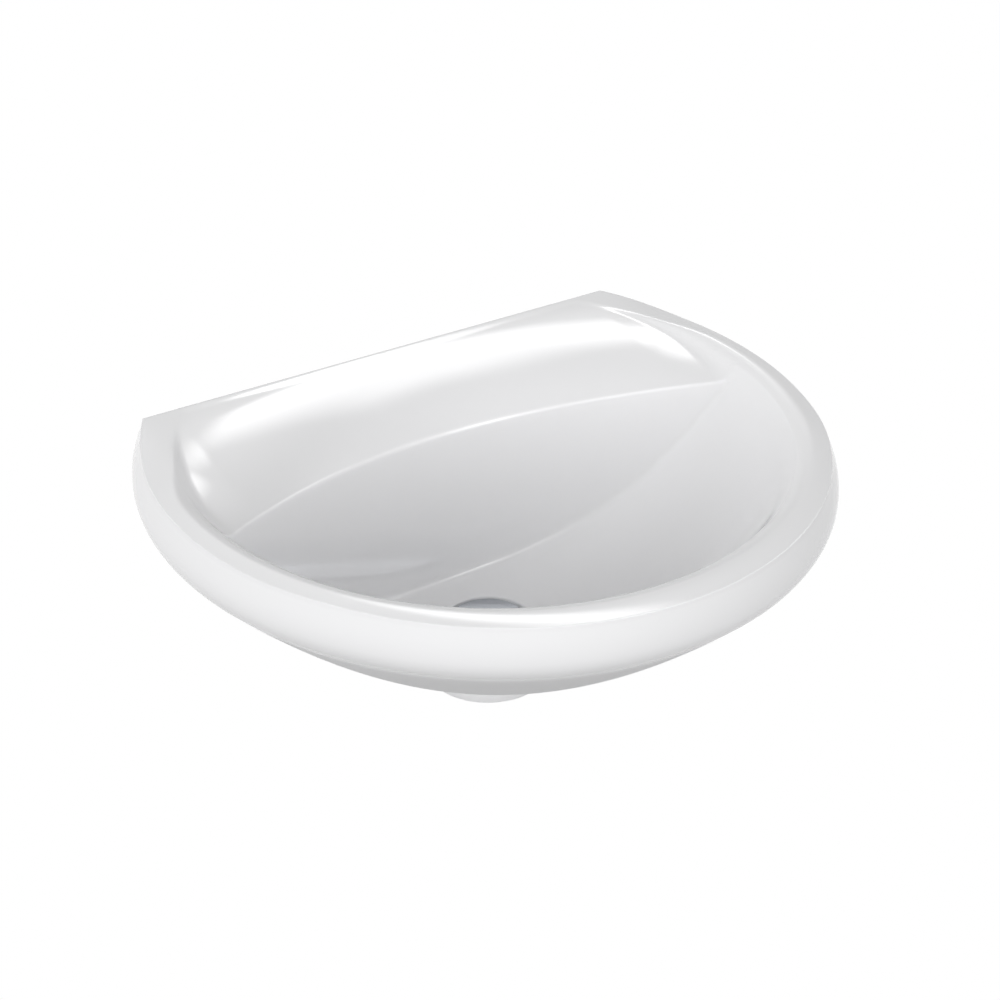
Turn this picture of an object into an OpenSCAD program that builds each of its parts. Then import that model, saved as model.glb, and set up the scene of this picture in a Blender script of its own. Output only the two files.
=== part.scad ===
// Wall-hung washbasin: one glazed casting, its push-open waste and its wall fixings.
// Millimetres. The wall is the plane y = 0, the front points along -Y and +Z is up.
// The origin lies on the wall, midway between the two fixing bolts.

/* [Basin outline] */
// Width across the widest part of the apron
basin_w = 450; // [430:1:470]
// Depth from the wall to the front of the apron
basin_d = 369; // [360:1:380]
// Width of the flat back that meets the wall
wall_w = 363; // [350:1:372]
// Height of the upright apron, from the top edge to the turn at its foot
apron_h = 23.5; // [20:0.5:28]
// How far the apron swells out below the top edge, at the front
apron_flare = 4; // [3:0.5:6]
// How far it swells out at the two sides
side_flare = 7; // [4:0.5:9]
// Radius of the outer top edge
edge_r = 2; // [2:0.5:5]
// Radius of the top edge along the wall
wall_edge_r = 4; // [3:0.5:6]
// Radius of the turn from the apron into the underside
turn_r = 20; // [16:0.5:24]
// Angle of that turn, in degrees
turn_angle = 38; // [34:1:42]

/* [Bowl] */
// Width of the rim, from the outer edge to the mouth of the bowl
rim_w = 19; // [15:0.5:22]
// Width of the rim at the middle of the front
rim_front = 27; // [24:0.5:29]
// Softness of the roll from the rim into the bowl
rim_roll = 20; // [14:1:22]
// Softness of the valleys where the shelf runs into the rim
valley_roll = 9; // [3:1:12]
// Depth of the bowl under the top edge
bowl_depth = 153.5; // [149:0.5:155]
// Fullness of the bowl towards the wall
back_fullness = 2.5; // [2.3:0.1:2.7]
// Fullness of the bowl towards the front
front_fullness = 2.4; // [2.1:0.1:2.5]
// Steepness of the bowl near its mouth
bowl_mouth_power = 0.9; // [0.8:0.05:1]
// Distance of the waste from the wall
drain_y = 135.5; // [132:0.5:140]

/* [Back shelf] */
// Depth of the shelf at the middle, from the wall to its front edge
shelf_d = 76.5; // [72:0.5:82]
// How far the shelf's edge comes forward 100 mm off the middle
shelf_bow = 18.4; // [16:0.2:19]
// Drop of the shelf's front edge under the top edge
shelf_drop = 33.6; // [30:0.2:36]
// How much the shelf's edge rises 100 mm off the middle
shelf_rise = 4.9; // [4.2:0.1:5.4]
// Slope of the shelf where it leaves the wall, in degrees; it steepens evenly to its front edge
shelf_start = 4.9; // [4:0.1:6]
// How much of that slope is lost 100 mm off the middle, in degrees
shelf_start_loss = 1.8; // [1:0.1:2.2]
// How far the shelf's start comes forward 100 mm off the middle
shelf_start_bow = 3; // [1:0.5:5]
// Softness of the roll from the top edge into the shelf
shelf_roll = 2.8; // [1.5:0.1:4]
// How much of that softness is lost 100 mm off the middle
shelf_roll_loss = 1; // [0.5:0.1:1.4]
// Run of the bowl's back wall for each millimetre of its height
back_wall_run = 0.025; // [0.02:0.005:0.05]

/* [Underside] */
// Depth of the outer skin under the top edge, before the boss
belly_depth = 157.5; // [155:0.5:160]
// Fullness of the outer skin
belly_fullness = 1.95; // [1.8:0.05:2.1]
// Least thickness of the ceramic between the bowl and the outer skin
skin_t = 8.5; // [8:0.5:11]
// Height of the flat back panel
panel_h = 128; // [120:1:134]
// Thickness of the back panel
panel_t = 14; // [12:0.5:16]
// How much the back panel narrows towards its foot, as a share of its width
panel_taper = 0.2; // [0.15:0.05:0.25]
// Width of the open hollow behind the bowl
hollow_w = 256; // [240:2:260]
// Ceramic left between the hollow and the bowl's back wall
hollow_skin = 13; // [11:0.5:15]
// Depth of the hollow's ceiling under the top edge
hollow_roof = 46; // [44:1:50]

/* [Waste hole] */
// Radius of the boss under the bowl
boss_r = 44; // [42:0.5:47]
// Ceramic thickness at the waste, from the seat to the foot of the boss
boss_t = 31.5; // [30:0.5:36]
// Diameter of the hole for the waste
waste_hole_d = 46; // [45:0.5:48]
// Clearance round the waste flange in its seat
seat_gap = 1.5; // [1:0.25:2.5]
// Depth of the seat in the bowl's floor
seat_depth = 5; // [4:0.25:6]

/* [Waste body] */
// Diameter of the waste flange
flange_d = 60; // [58:0.5:62]
// Thickness of the waste flange
flange_t = 2.5; // [2:0.25:3]
// Outside diameter of the threaded tail
tail_d = 41.9; // [41:0.1:42.5]
// Bore of the tail below the bridge
tail_bore = 36; // [35:0.25:37]
// Bore of the throat above the bridge
throat_bore = 34; // [33:0.25:34.5]
// How far the tail reaches below the boss
tail_reach = 13; // [12.5:0.25:14]
// Thickness of the gasket under the flange
top_gasket_t = 1.5; // [1:0.25:2]
// Thickness of the gasket's lip under the boss
low_gasket_t = 1.5; // [1:0.25:2]
// Depth of that gasket's cone inside the waste hole
low_gasket_cone = 4; // [3:0.5:6]
// Thickness of the slip washer
slip_washer_t = 1; // [0.75:0.25:1.5]
// Thickness of the back nut
back_nut_t = 5.5; // [5:0.25:6]
// Outer diameter of the back nut
back_nut_d = 54; // [52:0.5:55]
// Width of the thread relief on the tail, just below the back nut
tail_relief_w = 1; // [0.75:0.25:1.25]
// Depth of that relief
tail_relief_t = 0.6; // [0.4:0.1:0.8]
// Height of the bridge that carries the push latch
bridge_h = 6; // [5:0.5:8]
// Depth of the bridge's top under the seat
bridge_drop = 24; // [23:0.5:26]
// Width of the bridge's ribs
bridge_rib = 3; // [2.5:0.25:4]

/* [Plug and push latch] */
// Diameter of the plug cover
cover_d = 54; // [52:0.5:56]
// Thickness of the plug cover at its edge
cover_t = 2; // [1.75:0.25:2.5]
// Rise of the cover's crown
cover_crown = 1.5; // [1:0.25:2]
// Lift of the plug from shut to open
plug_lift = 6; // [5:0.5:6]
// Clearance between the shut plug and the flange
plug_gap = 0.3; // [0.2:0.05:0.5]
// Width of the plug's rubber seal
seal_w = 4; // [3:0.25:5]
// Thickness of the plug's rubber seal
seal_t = 1.2; // [1:0.1:1.4]
// Diameter of the latch barrel
barrel_d = 13; // [12:0.25:14]
// Length of the latch barrel above the bridge
barrel_l = 21; // [20:0.5:22]
// Bore of the latch barrel
barrel_bore = 9.6; // [9.2:0.1:10]
// Diameter of the plug stem
stem_d = 5; // [4.5:0.1:5.5]
// Running clearance of the stem and its collar, on the radius
stem_fit = 0.08; // [0.05:0.01:0.1]
// Thickness of the stem's collar
collar_t = 2; // [1.5:0.25:2.5]
// Thickness of the ratchet ring under the collar
ratchet_t = 2; // [1.5:0.25:2.5]
// Wire diameter of the latch spring
spring_wire = 0.7; // [0.5:0.1:0.8]
// Turns of the latch spring
spring_turns = 6; // [5:1:7]
// Thickness of the lock nut on the stem
lock_nut_t = 2; // [1.75:0.25:2.25]

/* [Wall fixings] */
// Depth of the fixing bolts under the top edge
fix_drop = 70; // [66:1:76]
// Distance between the two fixing bolts
fix_pitch = 200; // [190:2:210]
// Diameter of the fixing holes in the back panel
fix_hole_d = 16; // [15:0.5:17]
// Thread diameter of the fixing bolts
bolt_d = 10; // [8:0.5:10]
// Reach of the bolts in front of the wall
bolt_front = 34; // [32:1:36]
// Reach of the bolts into the wall
bolt_wall = 66; // [56:2:68]
// Diameter of the wall plugs
plug_d = 14; // [13:0.5:16]
// Length of the wall plugs
plug_l = 71; // [70:1:80]
// How far the wall plugs sit behind the face of the wall
plug_recess = 1; // [0.5:0.25:2]
// Diameter of the sleeve's head
sleeve_head_d = 26; // [24:0.5:28]
// Thickness of the sleeve's head
sleeve_head_t = 3; // [2.5:0.25:4]
// Clearance of the sleeve in its hole, on the radius
sleeve_gap = 0.3; // [0.1:0.1:0.5]
// Diameter of the steel washers
washer_d = 21; // [20:0.5:22]
// Thickness of the steel washers
washer_t = 2; // [1.5:0.25:2.5]
// Width of the nuts across their flats
nut_af = 17; // [16:0.5:17]
// Height of the nuts
nut_h = 8; // [7:0.5:9]
// Outer diameter of the nut caps
cap_d = 26; // [25:0.5:28]
// Wall thickness of the nut caps
cap_wall = 1.5; // [1.25:0.25:2]

/* [Hidden] */

// Points round the outline: those of the curved front, and those along the wall
front_n = 52;
wall_n = 19;
ring_n = front_n + 1 + wall_n;

// The top edge is an ellipse cut off by the wall
top_a = basin_w / 2 - side_flare;
side_more = side_flare - apron_flare;
top_depth = basin_d - apron_flare;
cut_share = sqrt(1 - pow(wall_w / 2 / top_a, 2));
top_b = top_depth / (1 + cut_share);
top_c = -cut_share * top_b;

// Heights in the basin's own frame, where the top edge is z = 0
waste_seat_r = flange_d / 2 + seat_gap;
seat_z = bowl_z(waste_seat_r, top_a - rim_w, back_fullness) - seat_depth;
boss_z = seat_z - boss_t;
boss_top_z = 1.5 - bowl_depth - skin_t;
turn_z = -apron_h - turn_r * sin(turn_angle);
turn_inset = turn_r * (1 - cos(turn_angle)) - apron_flare;

// Heights along the waste, from the flange down to the tail
flange_z = seat_z + top_gasket_t;
flange_top_z = flange_z + flange_t;
tail_z = boss_z - tail_reach;
nut_foot_z = boss_z - low_gasket_t - slip_washer_t - back_nut_t;
relief_z = nut_foot_z - tail_relief_w;
relief_r = tail_d / 2 - tail_relief_t;
bridge_z = seat_z - bridge_drop;
barrel_top_z = bridge_z + barrel_l;
barrel_neck_d = 9;
neck_fit = 0.02;
barrel_lip_t = 2;
cover_z = flange_top_z + plug_gap;
collar_top_z = barrel_top_z - barrel_lip_t - plug_lift - 0.3;
spring_foot_z = bridge_z - bridge_h;
spring_top_z = collar_top_z - collar_t - ratchet_t - 0.1;
spring_r = barrel_bore / 2 - spring_wire / 2 - 0.35;
end_cap_t = 3;
barrel_foot_bore = barrel_bore - 2.4;
spigot_d = stem_d - 1.6;

// Depths along the fixings, from the wall to the caps
head_y = -panel_t - sleeve_head_t;
washer_y = head_y - washer_t;
nut_y = washer_y - nut_h;
cap_l = bolt_front + washer_y + 2.5 + cap_wall;

function lift(points, dz) = [for (p = points) p + [0, 0, dz]];
function mix(a, b, t) = a + (b - a) * t;
function limit(v, lo, hi) = max(lo, min(hi, v));

// Lower of two heights, blended over a band of k
function soft_min(a, b, k) =
    let (h = limit(0.5 + 0.5 * (b - a) / k, 0, 1))
    mix(b, a, h) - k * h * (1 - h);

// Outline point i of the top edge, drawn in by inset, with its back on y = -back;
// wide is added at the two sides alone
function outline_point(i, inset, back, wide = 0) =
    let (a = top_a - inset + wide, b = top_b - inset)
    let (start = asin(limit((-back - top_c) / b, -1, 1)))
    let (turn = start - (180 + 2 * start) * i / front_n)
    let (corner_x = a * cos(start))
    i <= front_n
        ? [a * cos(turn), top_c + b * sin(turn)]
        : [-corner_x + 2 * corner_x * (i - front_n) / (wall_n + 1), -back];

// Direction of outline point i, seen from the waste
function aim(i) =
    let (v = outline_point(i, edge_r, wall_edge_r) + [0, drain_y])
    v / norm(v);

// Distance from the waste to the bowl's mouth, widened by extra, along a direction
function bowl_reach(dir, extra) =
    let (a = top_a - rim_w + extra, b = top_b - rim_front + extra, o = -drain_y - top_c)
    let (qa = pow(dir.x / a, 2) + pow(dir.y / b, 2))
    let (qb = 2 * o * dir.y / (b * b))
    let (qc = pow(o / b, 2) - 1)
    (-qb + sqrt(qb * qb - 4 * qa * qc)) / (2 * qa);

// Fullness of the bowl along a direction: fuller towards the wall than towards the front
function fullness(dir) =
    let (t = limit((dir.y + 0.45) / 0.6, 0, 1))
    mix(front_fullness, back_fullness, t * t * (3 - 2 * t));

// Height of the bowl at a distance r from the waste, for a mouth at the given reach
function bowl_z(r, reach, full) =
    r >= reach ? 1.8 * (r - reach)
    : -bowl_depth * pow(1 - pow(r / reach, full), bowl_mouth_power);

// Height of the outer skin, which keeps its thickness under the bowl
function belly_z(r, end, reach, full) =
    let (free = -turn_z + (belly_depth + turn_z) * (1 - pow(r / end, belly_fullness)))
    let (w = min(1, r / (reach + skin_t)))
    let (under = (bowl_depth + skin_t) * pow(1 - pow(w, full), bowl_mouth_power))
    soft_min(-free, -under, 8);

// The shelf's front edge in plan, its height, and the height of the shelf itself
function edge_y(x) = -shelf_d - shelf_bow * pow(x / 100, 2);
function edge_z(x) = -shelf_drop + shelf_rise * pow(x / 100, 2);
function shelf_run(x) = -edge_y(x) - shelf_start_bow * pow(x / 100, 2);
function start_slope(x) = tan(max(0, shelf_start - shelf_start_loss * pow(x / 100, 2)));
function edge_slope(x) = -2 * edge_z(x) / shelf_run(x) - start_slope(x);
function shelf_z(p) =
    let (first = edge_slope(p.x), last = start_slope(p.x), full_run = shelf_run(p.x))
    let (past_edge = p.y - edge_y(p.x), run = min(past_edge, full_run))
    edge_z(p.x) + first * run - (first - last) * run * run / full_run / 2 + last * (past_edge - run);
function back_wall_z(p) = edge_z(p.x) - (edge_y(p.x) - p.y) / back_wall_run;

// Softness of the roll from the top edge: the shelf's towards the wall, the rim's elsewhere
function roll_at(p, r) =
    let (t = limit(((p.y + drain_y) / r - 0.1) / 0.3, 0, 1))
    mix(rim_roll, max(0.5, shelf_roll - shelf_roll_loss * pow(p.x / 100, 2)), t * t * (3 - 2 * t));

// Height of the glazed top surface at a plan point
function top_z(p, reach, full) =
    let (r = norm(p + [0, drain_y]))
    let (cut = p.y > edge_y(p.x) ? shelf_z(p) : back_wall_z(p))
    soft_min(0, -soft_min(-bowl_z(r, reach, full), -cut, valley_roll), roll_at(p, r));

function along(dir, r) = [r * dir.x, r * dir.y - drain_y];

// Distance from the waste at which a column crosses the shelf's front edge
function edge_reach(dir) =
    let (q = shelf_bow * pow(dir.x / 100, 2), s = shelf_d - drain_y)
    q < 1e-6 ? -s / dir.y : (-dir.y + sqrt(max(0, dir.y * dir.y - 4 * q * s))) / (2 * q);

// Distance at which a column meets the foot of the bowl's back wall, found by halving
function foot_reach(dir, reach, full, lo, hi, n = 22) =
    let (m = (lo + hi) / 2)
    n == 0 ? m
    : bowl_z(m, reach, full) > back_wall_z(along(dir, m))
        ? foot_reach(dir, reach, full, m, hi, n - 1)
        : foot_reach(dir, reach, full, lo, m, n - 1);

// A column has the back wall in it where the shelf's edge lies above the bowl
function has_back_wall(dir, reach, full) =
    let (e = edge_reach(dir))
    dir.y > -0.2 && e < reach && bowl_z(e, reach, full) < edge_z(along(dir, e).x) - 1;

// Past its ends the two lines of the back wall open out softly, from 0 to 1
function opening(dir, reach) = limit((edge_reach(dir) / reach - 0.97) / 0.25, 0, 1);

core_r = waste_hole_d / 2 - 5;
floor_steps = 8;
wall_steps = 3;
rim_steps = 11;
front_edge = 0.966;
end_foot = 0.963;
front_foot = 0.93;

// One column of the top surface, from inside the waste hole out to the top edge
function top_column(i) =
    let (dir = aim(i), reach = bowl_reach(dir, 0), full = fullness(dir))
    let (end = norm(outline_point(i, edge_r, wall_edge_r) + [0, drain_y]))
    let (back = has_back_wall(dir, reach, full))
    let (edge = back ? edge_reach(dir) : front_edge * reach)
    let (front = mix(end_foot, front_foot, opening(dir, reach)) * reach)
    let (foot = back ? foot_reach(dir, reach, full, waste_seat_r, edge) : front)
    let (foot_p = along(dir, foot), edge_p = along(dir, edge))
    let (foot_h = back ? bowl_z(foot, reach, full) : top_z(foot_p, reach, full))
    let (edge_h = top_z(edge_p, reach, full))
    concat(
        [for (k = [0 : floor_steps - 1])
            let (r = mix(core_r, foot, k / floor_steps), p = along(dir, r))
            [p.x, p.y, bowl_z(r, reach, full)]],
        [for (k = [0 : wall_steps])
            let (p = mix(foot_p, edge_p, k / wall_steps))
            [p.x, p.y, mix(foot_h, edge_h, k / wall_steps)]],
        [for (k = [1 : rim_steps])
            let (p = along(dir, mix(edge, end, k / rim_steps)))
            [p.x, p.y, k == rim_steps ? 0 : top_z(p, reach, full)]]
    );

// Steps of the outer side: inset, inset along the wall, height, more width
side_steps = concat(
    [for (t = [22.5 : 22.5 : 90])
        [edge_r * (1 - sin(t)), wall_edge_r * (1 - sin(t)), -edge_r * (1 - cos(t)), 0]],
    [for (t = [0.35, 0.7, 1])
        [-apron_flare * sin(90 * t), 0, mix(-edge_r, -apron_h, t), side_more * sin(90 * t)]],
    [for (t = [1 / 3, 2 / 3, 1])
        [turn_r * (1 - cos(turn_angle * t)) - apron_flare, 0,
            -apron_h - turn_r * sin(turn_angle * t), side_more]]
);

// The underside has two families of points, blended round the two back corners:
// the curved belly, and the panel that hangs straight down the wall
belly_steps = 10;
panel_steps = 6;
blend_n = 7;

function boss_point(dir) = [boss_r * dir.x, boss_r * dir.y - drain_y, boss_top_z];

function belly_point(i, k) =
    let (dir = aim(i), reach = bowl_reach(dir, 0))
    let (end = norm(outline_point(i, turn_inset, 0, side_more) + [0, drain_y]))
    let (r = mix(end, boss_r, k / belly_steps), p = along(dir, r))
    k == belly_steps ? boss_point(dir)
    : [p.x, p.y, belly_z(r, end, reach, fullness(dir))];

function panel_point(i, k) =
    let (p = outline_point(i, turn_inset, 0, side_more), t = min(1, k / panel_steps))
    let (foot = [p.x * (1 - panel_taper * t * t), p.y, mix(turn_z, -panel_h, t)])
    let (u = max(0, k - panel_steps) / (belly_steps - panel_steps))
    mix(foot, boss_point(aim(i)), u);

// Share of the panel family at outline point i: 1 along the wall, fading past the corners
function panel_share(i) =
    let (d = i > front_n ? 0 : min(i, front_n - i))
    let (t = limit(d / blend_n, 0, 1))
    1 - t * t * (3 - 2 * t);

function under_point(i, k) = mix(belly_point(i, k), panel_point(i, k), panel_share(i));

function outer_column(i) = concat(
    [for (s = side_steps)
        let (p = outline_point(i, s[0], s[1], s[3]))
        [p.x, p.y, s[2]]],
    [for (k = [1 : belly_steps]) under_point(i, k)],
    [let (p = boss_point(aim(i))) [p.x, p.y, boss_z]]
);

// Solid skin round a closed loop of equal columns, from one end disc to the other
module loft(columns) {
    n = len(columns);
    m = len(columns[0]);
    first = [for (c = columns) c[0]];
    last = [for (c = columns) c[m - 1]];
    points = concat(
        [for (c = columns) each c],
        [[0, -drain_y, first[0].z], [0, -drain_y, last[0].z]]
    );
    faces = concat(
        [for (i = [0 : n - 1], k = [0 : m - 2]) let (j = (i + 1) % n) [i * m + k, j * m + k, j * m + k + 1]],
        [for (i = [0 : n - 1], k = [0 : m - 2]) let (j = (i + 1) % n) [i * m + k, j * m + k + 1, i * m + k + 1]],
        [for (i = [0 : n - 1]) [n * m, ((i + 1) % n) * m, i * m]],
        [for (i = [0 : n - 1]) [n * m + 1, i * m + m - 1, ((i + 1) % n) * m + m - 1]]
    );
    polyhedron(points = points, faces = faces);
}

module casting() {
    loft([for (i = [0 : ring_n - 1]) concat(top_column(i), outer_column(i))]);
}

// The hollow between the bowl and the back panel, open at the foot
module rear_hollow() {
    steps = 12;
    half = hollow_w / 2;
    bottom = boss_z - 4;
    translate([0, 0, bottom])
        linear_extrude(-hollow_roof - bottom)
            polygon(concat(
                [[half, -panel_t], [-half, -panel_t]],
                [for (k = [0 : steps])
                    let (x = mix(-half, half, k / steps))
                    [x, edge_y(x) + hollow_skin]]
            ));
}

module basin() {
    color("white")
        translate([0, 0, fix_drop])
            difference() {
                casting();
                rear_hollow();
                translate([0, -drain_y, seat_z]) cylinder(h = seat_depth + 3, r = waste_seat_r, $fn = 96);
                translate([0, -drain_y, boss_z - 1]) cylinder(h = boss_t + 2, d = waste_hole_d, $fn = 96);
                for (s = [-1, 1])
                    translate([s * fix_pitch / 2, 1, -fix_drop])
                        rotate([90, 0, 0]) cylinder(h = panel_t + 2, d = fix_hole_d, $fn = 48);
            }
}

// Everything on the waste's axis is placed from the top edge
module on_waste() {
    translate([0, -drain_y, fix_drop]) children();
}

module ring(z, h, outer_d, inner_d) {
    translate([0, 0, z])
        difference() {
            cylinder(h = h, d = outer_d, $fn = 96);
            translate([0, 0, -1]) cylinder(h = h + 2, d = inner_d, $fn = 96);
        }
}

module waste_body() {
    hub_d = barrel_neck_d + 5;
    color("silver")
        on_waste() {
            rotate_extrude($fn = 96)
                polygon([
                    [tail_bore / 2, tail_z], [tail_d / 2, tail_z],
                    [tail_d / 2, relief_z], [relief_r, relief_z],
                    [relief_r, nut_foot_z], [tail_d / 2, nut_foot_z], [tail_d / 2, flange_z],
                    [flange_d / 2, flange_z], [flange_d / 2, flange_top_z - 0.8],
                    [flange_d / 2 - 0.8, flange_top_z], [throat_bore / 2 + 1, flange_top_z],
                    [throat_bore / 2, flange_top_z - 1], [throat_bore / 2, bridge_z - bridge_h],
                    [tail_bore / 2, bridge_z - bridge_h]
                ]);
            difference() {
                union() {
                    translate([0, 0, bridge_z - bridge_h]) cylinder(h = bridge_h, d = hub_d, $fn = 48);
                    for (a = [90, 210, 330])
                        rotate(a)
                            translate([hub_d / 2 - 1, -bridge_rib / 2, bridge_z - bridge_h])
                                cube([throat_bore / 2 - hub_d / 2 + 1.5, bridge_rib, bridge_h]);
                }
                translate([0, 0, bridge_z - bridge_h - 1])
                    cylinder(h = bridge_h + 2, r = barrel_neck_d / 2 + neck_fit, $fn = 48);
            }
        }
}

module waste_top_gasket() {
    color("dimgray") on_waste() ring(seat_z, top_gasket_t, flange_d - 3, tail_d + 0.4);
}

module waste_lower_gasket() {
    color("dimgray")
        on_waste()
            rotate_extrude($fn = 96)
                polygon([
                    [tail_d / 2 + 0.2, boss_z - low_gasket_t], [back_nut_d / 2, boss_z - low_gasket_t],
                    [back_nut_d / 2, boss_z], [waste_hole_d / 2 - 0.2, boss_z],
                    [tail_d / 2 + 0.7, boss_z + low_gasket_cone], [tail_d / 2 + 0.2, boss_z + low_gasket_cone]
                ]);
}

module waste_slip_washer() {
    color("whitesmoke")
        on_waste()
            ring(boss_z - low_gasket_t - slip_washer_t, slip_washer_t, back_nut_d - 1, tail_d + 0.4);
}

module waste_back_nut() {
    top = boss_z - low_gasket_t - slip_washer_t;
    lugs = 8;
    color("goldenrod")
        on_waste()
            difference() {
                translate([0, 0, top - back_nut_t]) cylinder(h = back_nut_t, d = back_nut_d, $fn = 96);
                translate([0, 0, top - back_nut_t - 1]) cylinder(h = back_nut_t + 2, r = tail_d / 2 + 0.05, $fn = 96);
                for (k = [0 : lugs - 1])
                    rotate(360 / lugs * k)
                        translate([back_nut_d / 2 + 1, 0, top - back_nut_t - 1])
                            cylinder(h = back_nut_t + 2, r = 3.5, $fn = 32);
            }
}

module latch_barrel() {
    color("whitesmoke")
        on_waste()
            rotate_extrude($fn = 64)
                polygon([
                    [barrel_foot_bore / 2, spring_foot_z], [barrel_neck_d / 2, spring_foot_z],
                    [barrel_neck_d / 2, bridge_z], [barrel_d / 2, bridge_z],
                    [barrel_d / 2, barrel_top_z - 0.6], [barrel_d / 2 - 0.6, barrel_top_z],
                    [stem_d / 2 + stem_fit, barrel_top_z], [stem_d / 2 + stem_fit, barrel_top_z - barrel_lip_t],
                    [barrel_bore / 2, barrel_top_z - barrel_lip_t], [barrel_bore / 2, bridge_z + 1],
                    [barrel_foot_bore / 2, bridge_z + 1]
                ]);
}

module latch_end_cap() {
    color("whitesmoke")
        on_waste()
            translate([0, 0, spring_foot_z])
                cylinder(h = end_cap_t, r = barrel_foot_bore / 2 - neck_fit, $fn = 48);
}

// One unbroken coil between the barrel's floor and the ratchet ring
module latch_spring() {
    sides = 6;
    per_turn = 14;
    steps = spring_turns * per_turn;
    foot = bridge_z + 1 + spring_wire / 2;
    head = spring_top_z - spring_wire / 2;
    lean = (head - foot) / (steps * 2 * PI * spring_r / per_turn);
    points = [for (k = [0 : steps], s = [0 : sides - 1])
        let (a = 360 * k / per_turn, b = 360 * s / sides, w = spring_wire / 2)
        let (out = w * cos(b), up = w * sin(b))
        [(spring_r + out) * cos(a) + up * lean * sin(a), (spring_r + out) * sin(a) - up * lean * cos(a),
            mix(foot, head, k / steps) + up]];
    n = steps * sides;
    sleeve = [for (k = [0 : steps - 1], s = [0 : sides - 1])
        let (t = (s + 1) % sides, a = k * sides)
        each [[a + s, a + sides + s, a + sides + t], [a + s, a + sides + t, a + t]]];
    ends = [for (s = [1 : sides - 2]) each [[0, s, s + 1], [n, n + s + 1, n + s]]];
    color("gray") on_waste() polyhedron(points = points, faces = concat(sleeve, ends));
}

module ratchet_ring() {
    teeth = 8;
    top = collar_top_z - collar_t - 0.1;
    color("orange")
        on_waste()
            difference() {
                ring(top - ratchet_t, ratchet_t, barrel_bore - 2 * stem_fit, spigot_d + 2 * stem_fit);
                for (k = [0 : teeth - 1])
                    rotate(360 / teeth * k)
                        translate([barrel_bore / 2, 0, top - ratchet_t - 1])
                            cylinder(h = ratchet_t + 2, r = 0.6, $fn = 24);
            }
}

module plug_cover() {
    r = cover_d / 2;
    crown_r = (r * r + cover_crown * cover_crown) / (2 * cover_crown);
    color("silver")
        on_waste()
            translate([0, 0, cover_z])
                difference() {
                    intersection() {
                        cylinder(h = cover_t + cover_crown, r = r, $fn = 128);
                        translate([0, 0, cover_t + cover_crown - crown_r]) sphere(r = crown_r, $fn = 256);
                    }
                    translate([0, 0, -1]) cylinder(h = 2.2, d = stem_d, $fn = 48);
                    translate([0, 0, -1])
                        difference() {
                            cylinder(h = 1 + seal_t * 0.6, r = r - 2, $fn = 96);
                            translate([0, 0, -1]) cylinder(h = 4, r = r - 2 - seal_w, $fn = 96);
                        }
                }
}

module plug_seal() {
    color("black")
        on_waste() ring(cover_z - plug_gap * 0.2, seal_t * 0.6 + plug_gap * 0.2, cover_d - 4, cover_d - 4 - 2 * seal_w);
}

module plug_stem() {
    color("gold")
        on_waste() {
            translate([0, 0, collar_top_z - collar_t]) cylinder(h = collar_t, r = barrel_bore / 2 - stem_fit, $fn = 64);
            translate([0, 0, collar_top_z]) cylinder(h = cover_z + 1.2 - collar_top_z, d = stem_d, $fn = 48);
            translate([0, 0, collar_top_z - collar_t - ratchet_t - 1])
                cylinder(h = ratchet_t + 1, d = spigot_d, $fn = 48);
        }
}

module stem_lock_nut() {
    color("silver")
        on_waste()
            translate([0, 0, cover_z - lock_nut_t])
                difference() {
                    cylinder(h = lock_nut_t, d = 9, $fn = 6);
                    translate([0, 0, -1]) cylinder(h = lock_nut_t + 2, d = stem_d, $fn = 48);
                }
}

// One at each fixing bolt, turned so that the local +Z points out of the wall
module at_fixings() {
    for (s = [-1, 1]) translate([s * fix_pitch / 2, 0, 0]) rotate([90, 0, 0]) children();
}

module wall_plugs() {
    color("lightgray")
        at_fixings()
            difference() {
                translate([0, 0, -plug_recess - plug_l]) cylinder(h = plug_l, d = plug_d, $fn = 48);
                translate([0, 0, -bolt_wall - 0.5]) cylinder(h = bolt_wall + 1.5, d = bolt_d - 1.5, $fn = 48);
            }
}

module hanger_bolts() {
    tip = 6;
    color("silver")
        at_fixings() {
            translate([0, 0, 0.3]) cylinder(h = bolt_front - 1.3, d = bolt_d, $fn = 48);
            translate([0, 0, bolt_front - 1]) cylinder(h = 1, d1 = bolt_d, d2 = bolt_d - 2, $fn = 48);
            translate([0, 0, tip - bolt_wall]) cylinder(h = bolt_wall - tip + 0.3, d = bolt_d - 1.8, $fn = 48);
            translate([0, 0, -bolt_wall]) cylinder(h = tip, d1 = 2, d2 = bolt_d - 1.8, $fn = 48);
        }
}

module fixing_sleeves() {
    color("whitesmoke")
        at_fixings()
            difference() {
                union() {
                    translate([0, 0, 1]) cylinder(h = panel_t - 1, r = fix_hole_d / 2 - sleeve_gap, $fn = 48);
                    translate([0, 0, panel_t]) cylinder(h = sleeve_head_t, d = sleeve_head_d, $fn = 64);
                }
                cylinder(h = panel_t + sleeve_head_t + 1, r = bolt_d / 2 + 0.2, $fn = 48);
            }
}

module fixing_washers() {
    color("silver")
        at_fixings()
            translate([0, 0, -head_y])
                difference() {
                    cylinder(h = washer_t, d = washer_d, $fn = 64);
                    translate([0, 0, -1]) cylinder(h = washer_t + 2, r = bolt_d / 2 + 0.3, $fn = 48);
                }
}

module fixing_nuts() {
    color("silver")
        at_fixings()
            translate([0, 0, -washer_y])
                difference() {
                    intersection() {
                        cylinder(h = nut_h, d = nut_af / cos(30), $fn = 6);
                        cylinder(h = nut_h, d = nut_af * 1.1, $fn = 64);
                    }
                    translate([0, 0, -1]) cylinder(h = nut_h + 2, r = bolt_d / 2 + 0.03, $fn = 48);
                }
}

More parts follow.
